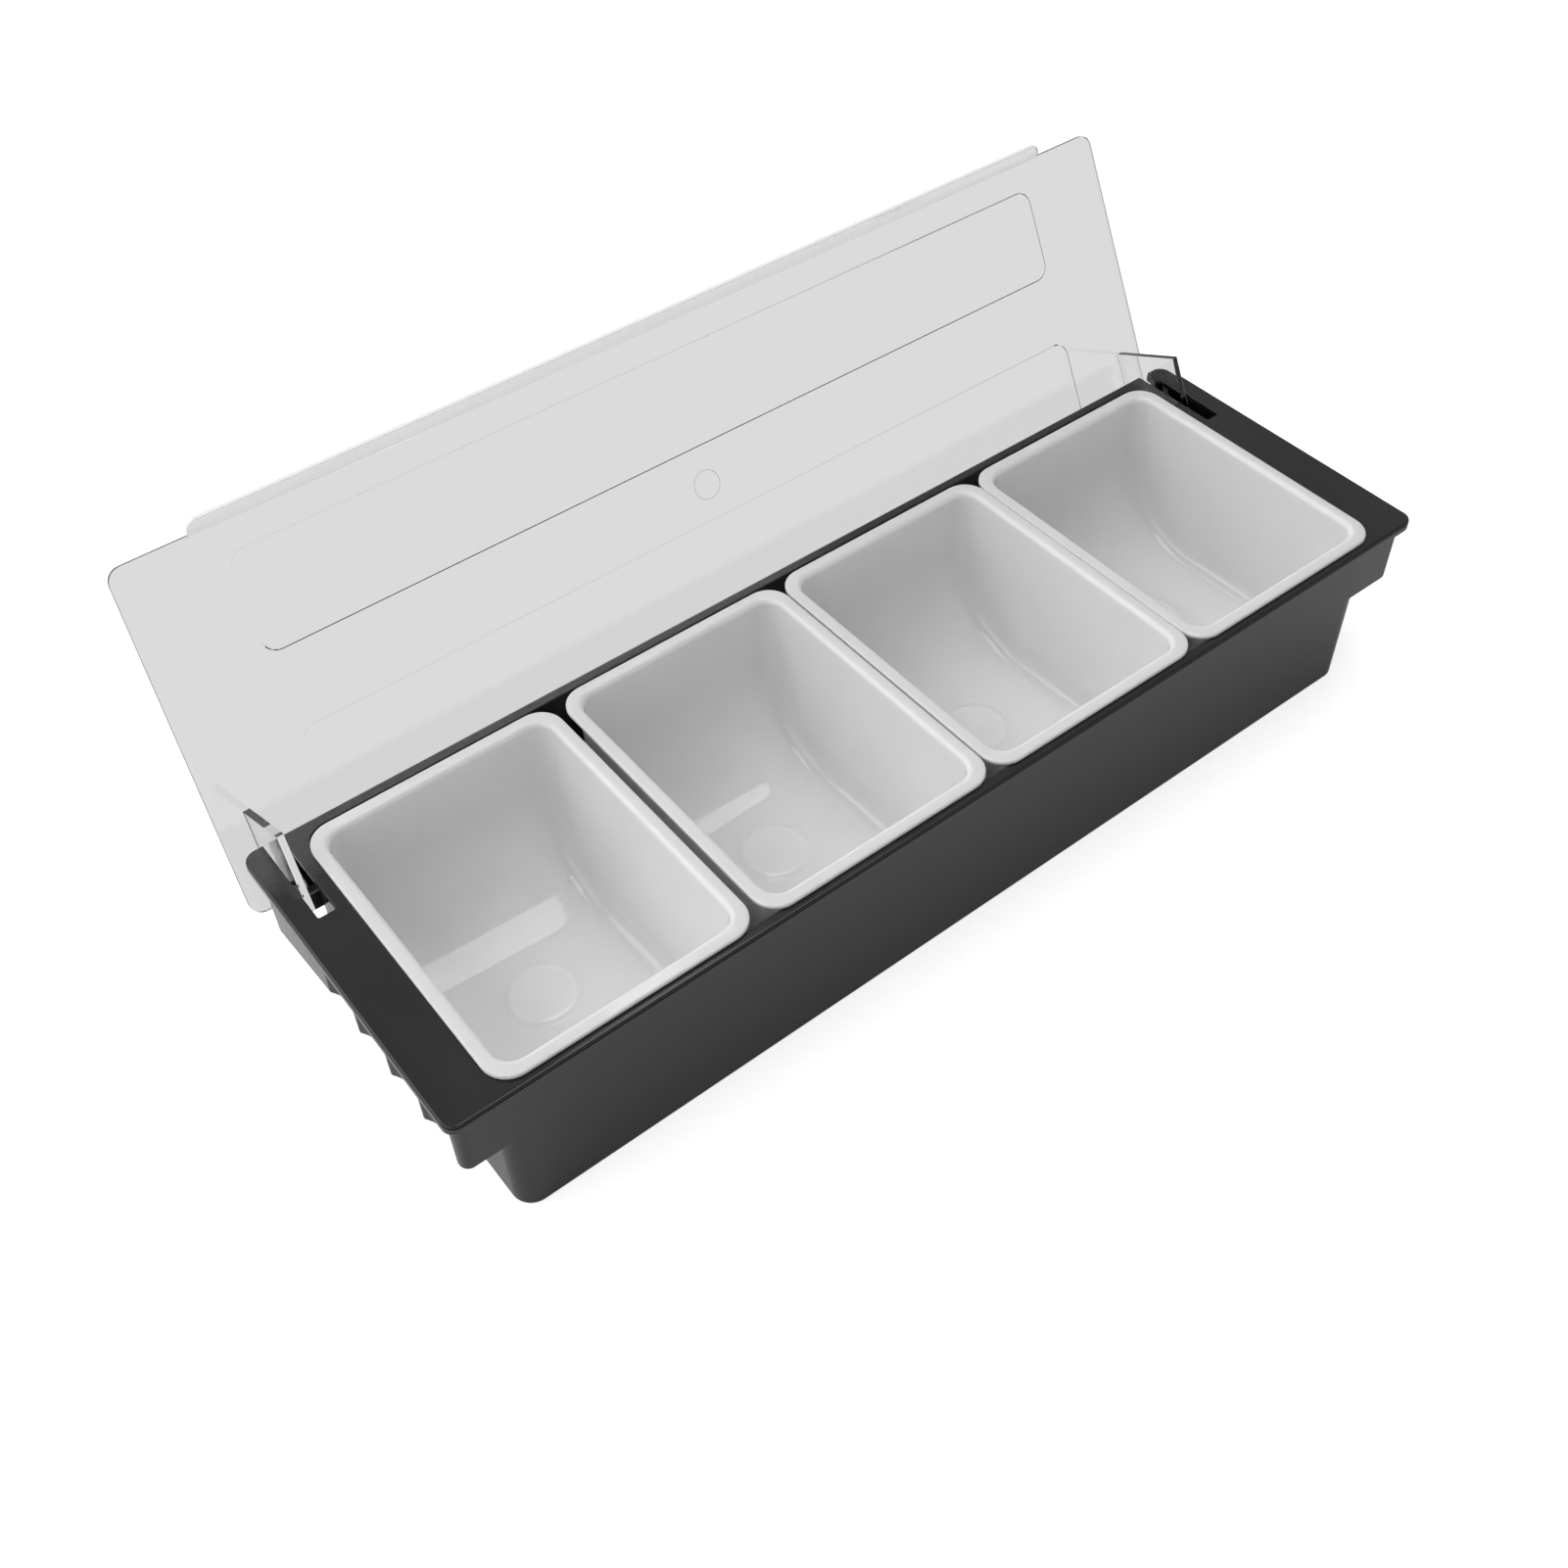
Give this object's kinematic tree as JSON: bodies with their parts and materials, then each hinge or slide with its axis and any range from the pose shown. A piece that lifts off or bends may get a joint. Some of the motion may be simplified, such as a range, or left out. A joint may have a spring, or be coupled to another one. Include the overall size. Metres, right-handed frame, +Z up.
{
  "type": "condiment caddy",
  "caption": "Long counter caddy: a dark tray carries a row of white lift-out food inserts under one clear full-length flip lid.",
  "frame": {"origin": "centre of the tray's flat base, on the surface it stands on", "axes": "+X along the row of inserts, +Y towards the hinge side, +Z up"},
  "size_m": [0.4974, 0.2171, 0.187],
  "materials": {
    "tray_black": "satin charcoal moulded plastic",
    "lid_clear": "clear polished moulded polycarbonate",
    "insert_white": "glossy white moulded plastic"
  },
  "bodies": {
    "tray": {"tray": "tray_black"},
    "lid": {"lid": "lid_clear"},
    "insert_1": {"insert_1": "insert_white"},
    "insert_2": {"insert_2": "insert_white"},
    "insert_3": {"insert_3": "insert_white"},
    "insert_4": {"insert_4": "insert_white"}
  },
  "joints": [
    {"name": "lid_hinge", "type": "hinge", "parent": "tray", "child": "lid", "pos_m": [0, 0.0635, 0.0667], "axis": [-1, 0, 0], "range_deg": [-115.2, 0]},
    {"name": "insert_1_lift", "type": "slide", "parent": "tray", "child": "insert_1", "axis": [0, 0, 1], "range_m": [0, 0.09]},
    {"name": "insert_2_lift", "type": "slide", "parent": "tray", "child": "insert_2", "axis": [0, 0, 1], "range_m": [0, 0.09]},
    {"name": "insert_3_lift", "type": "slide", "parent": "tray", "child": "insert_3", "axis": [0, 0, 1], "range_m": [0, 0.09]},
    {"name": "insert_4_lift", "type": "slide", "parent": "tray", "child": "insert_4", "axis": [0, 0, 1], "range_m": [0, 0.09]}
  ]
}
